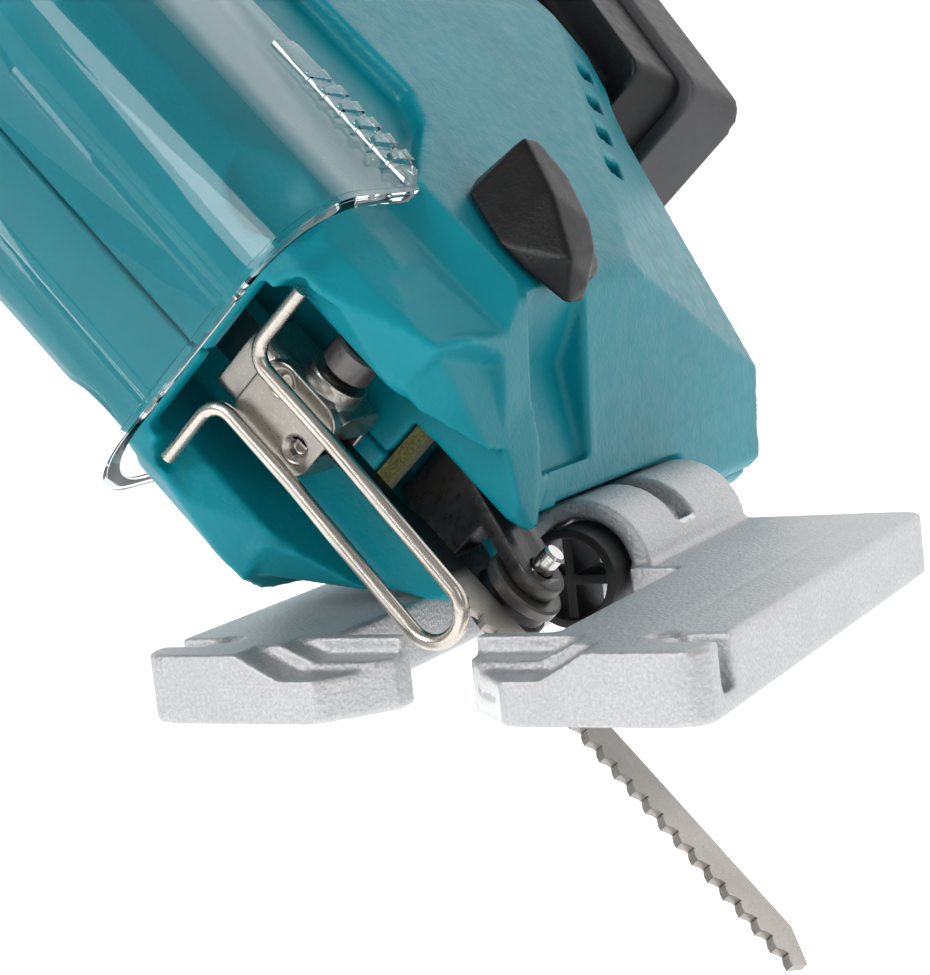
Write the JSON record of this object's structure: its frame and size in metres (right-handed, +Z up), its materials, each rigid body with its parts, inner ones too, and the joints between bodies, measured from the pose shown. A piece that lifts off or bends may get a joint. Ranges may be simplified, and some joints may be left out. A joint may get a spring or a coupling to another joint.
{
  "type": "jigsaw",
  "caption": "Cordless top-handle jigsaw with a bevelling cast base, clear dust cover, wire guard, clamped blade and slide-on battery.",
  "frame": {"origin": "on the sole, at the middle of the base plate's rear bar", "axes": "+Z up from the sole, +Y towards the rear, +X to the side away from which the body leans at rest"},
  "size_m": [0.1682, 0.2129, 0.1933],
  "materials": {
    "teal_plastic": "leather-grain moulded",
    "black_plastic": "fine matt",
    "grey_plastic": "matt",
    "grip_rubber": "matt rubber",
    "cast_aluminium": "blasted die casting",
    "bright_steel": "satin",
    "black_steel": "black oxide",
    "copper": "lacquered windings",
    "felt": "wool felt",
    "board": "lacquer",
    "clear_plastic": "clear polycarbonate"
  },
  "bodies": {
    "housing": {"housing_left": "teal_plastic", "housing_right": "teal_plastic", "housing_screw_1": "black_steel", "housing_screw_2": "black_steel", "housing_screw_3": "black_steel", "grip_pad": "grip_rubber", "wire_guard": "bright_steel", "gear_bearing": "bright_steel", "bearing_plate": "cast_aluminium", "motor_can": "black_steel", "motor_end_bell": "black_plastic", "motor_bearing": "bright_steel", "holder_pin": "bright_steel", "fork_pin": "bright_steel", "felt_seal": "felt", "switch_body": "black_plastic", "controller_board": "board", "terminal_block": "black_plastic", "bevel_clamp_plate": "bright_steel", "bevel_clamp_bolt": "black_steel"},
    "base": {"base_plate": "cast_aluminium", "dust_nozzle": "black_plastic"},
    "cover": {"dust_cover": "clear_plastic"},
    "gear": {"crank_gear": "bright_steel", "gear_shaft": "bright_steel", "crank_pin": "bright_steel"},
    "rotor": {"motor_pinion": "bright_steel", "motor_shaft": "bright_steel", "motor_armature": "copper", "cooling_fan": "black_plastic"},
    "holder": {"slider_holder": "cast_aluminium"},
    "slider": {"slider_rod": "bright_steel", "slider_yoke": "bright_steel", "blade_clamp": "bright_steel"},
    "clamp_screw": {"clamp_bolt": "black_steel"},
    "blade": {"saw_blade": "bright_steel"},
    "retainer": {"retainer_fork": "black_steel", "roller_pin": "bright_steel"},
    "roller": {"guide_roller": "bright_steel"},
    "trigger": {"trigger": "black_plastic"},
    "lock_off": {"lock_off_button": "black_plastic"},
    "lever": {"orbital_knob": "black_plastic", "lever_shaft": "bright_steel"},
    "battery": {"battery_case_rear": "grey_plastic", "battery_case_front": "grey_plastic", "battery_cell_1": "board", "battery_cell_2": "board", "battery_cell_3": "board"},
    "battery_release": {"battery_button": "black_plastic"}
  },
  "joints": [
    {"name": "base_bevel", "type": "hinge", "parent": "housing", "child": "base", "pos_m": [0, -0.01775, 0.0081], "axis": [0, 1, 0], "range_deg": [-85.5, 4.5]},
    {"name": "cover_slide", "type": "slide", "parent": "housing", "child": "cover", "axis": [0.6494, 0, -0.7604], "range_m": [0, 0.015]},
    {"name": "gear_spin", "type": "hinge", "parent": "housing", "child": "gear", "pos_m": [-0.05325, -0.03975, 0.07045], "axis": [0, 1, 0], "continuous": true},
    {"name": "rotor_spin", "type": "hinge", "parent": "housing", "child": "rotor", "pos_m": [-0.03702, -0.00375, 0.05144], "axis": [0, 1, 0], "continuous": true},
    {"name": "holder_swing", "type": "hinge", "parent": "housing", "child": "holder", "pos_m": [-0.07014, -0.05675, 0.09022], "axis": [-0.7604, 0, -0.6494], "range_deg": [0, 0.8]},
    {"name": "stroke", "type": "slide", "parent": "holder", "child": "slider", "axis": [-0.6494, 0, 0.7604], "range_m": [0, 0.018]},
    {"name": "clamp_bolt_turn", "type": "hinge", "parent": "slider", "child": "clamp_screw", "pos_m": [-0.01882, -0.06425, 0.03937], "axis": [0.7604, 0, 0.6494], "range_deg": [-360, 0]},
    {"name": "blade_release", "type": "slide", "parent": "slider", "child": "blade", "axis": [0.6494, 0, -0.7604], "range_m": [0, 0.024]},
    {"name": "retainer_swing", "type": "hinge", "parent": "housing", "child": "retainer", "pos_m": [-0.01331, -0.04575, 0.02369], "axis": [-0.7604, 0, -0.6494], "range_deg": [0, 4.2]},
    {"name": "roller_spin", "type": "hinge", "parent": "retainer", "child": "roller", "pos_m": [-0.00078, -0.05455, 0.00901], "axis": [0.7604, 0, 0.6494], "continuous": true},
    {"name": "trigger_pull", "type": "slide", "parent": "housing", "child": "trigger", "axis": [-0.6494, 0, 0.7604], "range_m": [0, 0.006], "stiffness_N_per_m": 800},
    {"name": "lock_off_push", "type": "slide", "parent": "housing", "child": "lock_off", "axis": [0.7604, 0, 0.6494], "range_m": [-0.003, 0.003]},
    {"name": "orbital_lever", "type": "hinge", "parent": "housing", "child": "lever", "pos_m": [-0.00274, -0.03475, 0.05442], "axis": [0.7604, 0, 0.6494], "range_deg": [0, 90]},
    {"name": "battery_slide", "type": "slide", "parent": "housing", "child": "battery", "axis": [-0.5886, 0.4226, 0.6892], "range_m": [0, 0.07]},
    {"name": "battery_release_press", "type": "slide", "parent": "battery", "child": "battery_release", "axis": [-0.2745, -0.9063, 0.3214], "range_m": [0, 0.0018], "stiffness_N_per_m": 900}
  ],
  "couplings": [
    {"joint": "rotor_spin", "follows": "gear_spin", "ratio": -4},
    {"joint": "retainer_swing", "follows": "holder_swing", "ratio": 5.2}
  ]
}
